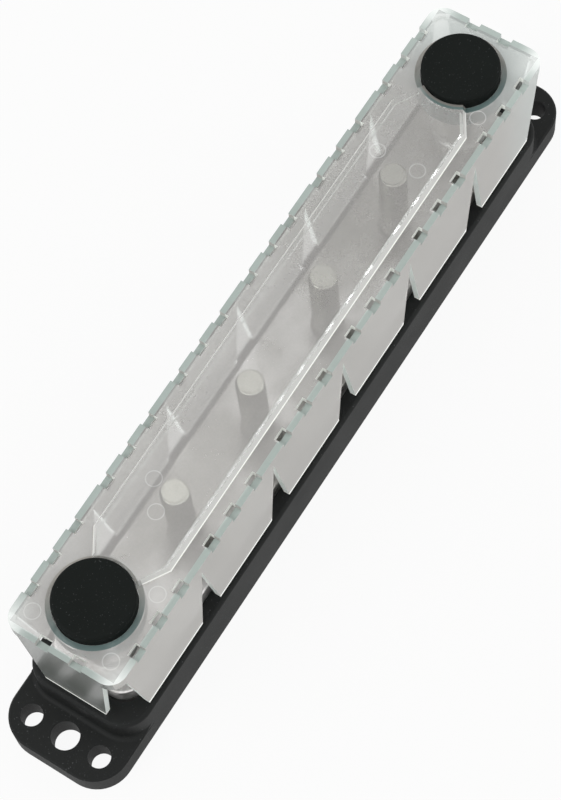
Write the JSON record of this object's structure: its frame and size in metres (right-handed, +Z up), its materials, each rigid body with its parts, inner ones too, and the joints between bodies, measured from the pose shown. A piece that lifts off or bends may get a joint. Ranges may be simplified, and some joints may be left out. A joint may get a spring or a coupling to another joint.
{
  "type": "modular busbar",
  "caption": "Long black base with mounting ears, a flat tinned bar with a row of upright studs, and a clear lift-off cover with break-off side tabs held by round knobs.",
  "frame": {"origin": "centre of the base's underside, on the mounting surface", "axes": "+X along the row of studs, +Y across the bar, +Z up, along the studs"},
  "size_m": [0.2492, 0.0368, 0.0589],
  "materials": {
    "black_plastic": "matte black moulded plastic",
    "knob_plastic": "matte black moulded plastic",
    "tinned_bar": "matt tin plating",
    "tinned_stud": "bright plated steel",
    "steel": "plain stainless steel",
    "brass": "turned brass",
    "clear_plastic": "clear polycarbonate, gloss"
  },
  "bodies": {
    "base": {"base": "black_plastic", "busbar": "tinned_bar", "bar_screws": "steel", "stud_1": "tinned_stud", "stud_2": "tinned_stud", "stud_3": "tinned_stud", "stud_4": "tinned_stud", "end_stud_left": "tinned_stud", "washer_left": "steel", "spring_washer_left": "steel", "nut_left": "steel", "spacer_left": "steel", "end_stud_right": "tinned_stud", "washer_right": "steel", "spring_washer_right": "steel", "nut_right": "steel", "spacer_right": "steel"},
    "cover": {"cover": "clear_plastic"},
    "knob_left": {"knob_left": "knob_plastic", "knob_bush_left": "brass", "retaining_ring_left": "steel"},
    "knob_right": {"knob_right": "knob_plastic", "knob_bush_right": "brass", "retaining_ring_right": "steel"}
  },
  "joints": [
    {"name": "cover_lift", "type": "slide", "parent": "base", "child": "cover", "axis": [0, 0, 1], "range_m": [0, 0.05]},
    {"name": "knob_left_turn", "type": "hinge", "parent": "cover", "child": "knob_left", "pos_m": [-0.09125, 0, 0.0503], "axis": [0, 0, 1], "continuous": true},
    {"name": "knob_right_turn", "type": "hinge", "parent": "cover", "child": "knob_right", "pos_m": [0.09125, 0, 0.0503], "axis": [0, 0, 1], "continuous": true}
  ]
}
